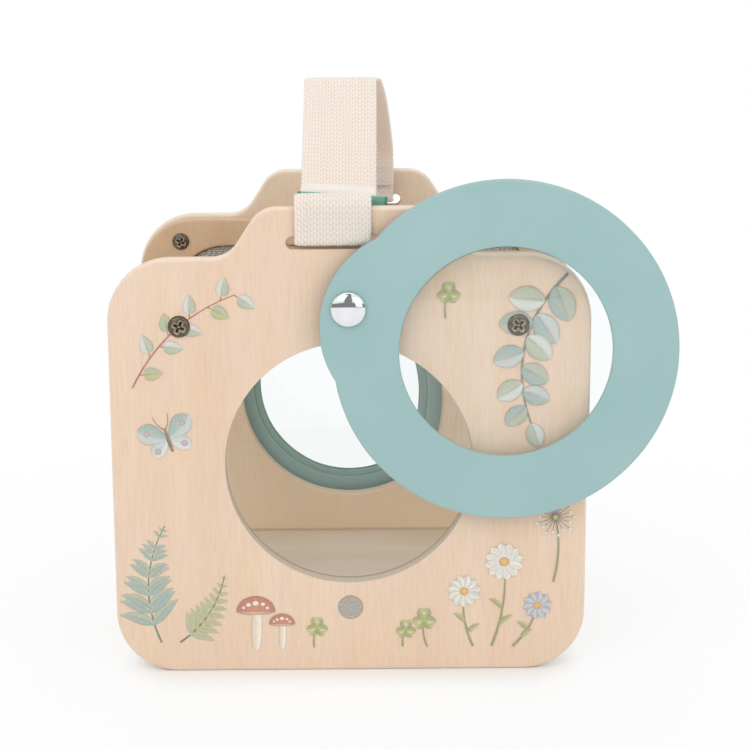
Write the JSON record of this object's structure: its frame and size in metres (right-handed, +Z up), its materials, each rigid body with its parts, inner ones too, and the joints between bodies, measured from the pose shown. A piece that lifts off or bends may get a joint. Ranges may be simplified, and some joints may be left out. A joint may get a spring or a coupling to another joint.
{
  "type": "bug viewer box",
  "caption": "Wooden bug viewer box in the outline of a camera: mesh canopy between two plates, swinging ring lids with lenses and a webbing handle.",
  "frame": {"origin": "middle of the front plate's bottom edge, at half its thickness, on the surface the box stands on", "axes": "+Z up, +Y from the front plate to the rear plate, +X to the right seen from the front"},
  "size_m": [0.1805, 0.1186, 0.1905],
  "materials": {
    "plate_wood": "fine sanded pale plywood, clear matt",
    "inner_wood": "plain sanded wood",
    "wire_mesh": "galvanised woven wire, sheet stands for the weave",
    "staple_steel": "bright wire",
    "dark_bronze": "antique dark plating",
    "magnet_nickel": "nickel plated",
    "rivet_chrome": "polished",
    "washer_steel": "plain zinc plated",
    "teal_paint": "matt teal paint on wood",
    "lens_clear": "clear polished, domed outside",
    "clip_grey": "plain moulded ring",
    "cream_webbing": "ribbed cotton webbing",
    "teal_ribbon": "plain folded ribbon"
  },
  "bodies": {
    "box": {"front_plate": "plate_wood", "rear_plate": "plate_wood", "front_rim": "inner_wood", "rear_rim": "inner_wood", "floor_board": "inner_wood", "left_dowel": "inner_wood", "right_dowel": "inner_wood", "mesh_canopy": "wire_mesh", "mesh_staples": "staple_steel", "floor_pins": "inner_wood", "front_plate_screws": "dark_bronze", "rear_plate_screws": "dark_bronze", "front_rim_screws": "dark_bronze", "rear_rim_screws": "dark_bronze", "front_plate_magnet": "magnet_nickel", "rear_plate_magnet": "magnet_nickel", "front_rivet": "rivet_chrome", "front_spacer": "washer_steel", "front_tail_washer": "washer_steel", "rear_rivet": "rivet_chrome", "rear_spacer": "washer_steel", "rear_tail_washer": "washer_steel", "front_strap_loop": "cream_webbing", "rear_strap_loop": "cream_webbing", "handle_strap": "cream_webbing", "strap_tag": "teal_ribbon"},
    "front_lid": {"front_lid": "teal_paint", "front_lens": "lens_clear", "front_lens_clip": "clip_grey", "front_lid_magnet": "magnet_nickel"},
    "rear_lid": {"rear_lid": "teal_paint", "rear_lens": "lens_clear", "rear_lens_clip": "clip_grey", "rear_lid_magnet": "magnet_nickel"}
  },
  "joints": [
    {"name": "front_lid_swing", "type": "hinge", "parent": "box", "child": "front_lid", "pos_m": [0, -0.0076, 0.1224], "axis": [0, 1, 0], "continuous": true},
    {"name": "rear_lid_swing", "type": "hinge", "parent": "box", "child": "rear_lid", "pos_m": [0, 0.1016, 0.1224], "axis": [0, 1, 0], "continuous": true}
  ]
}
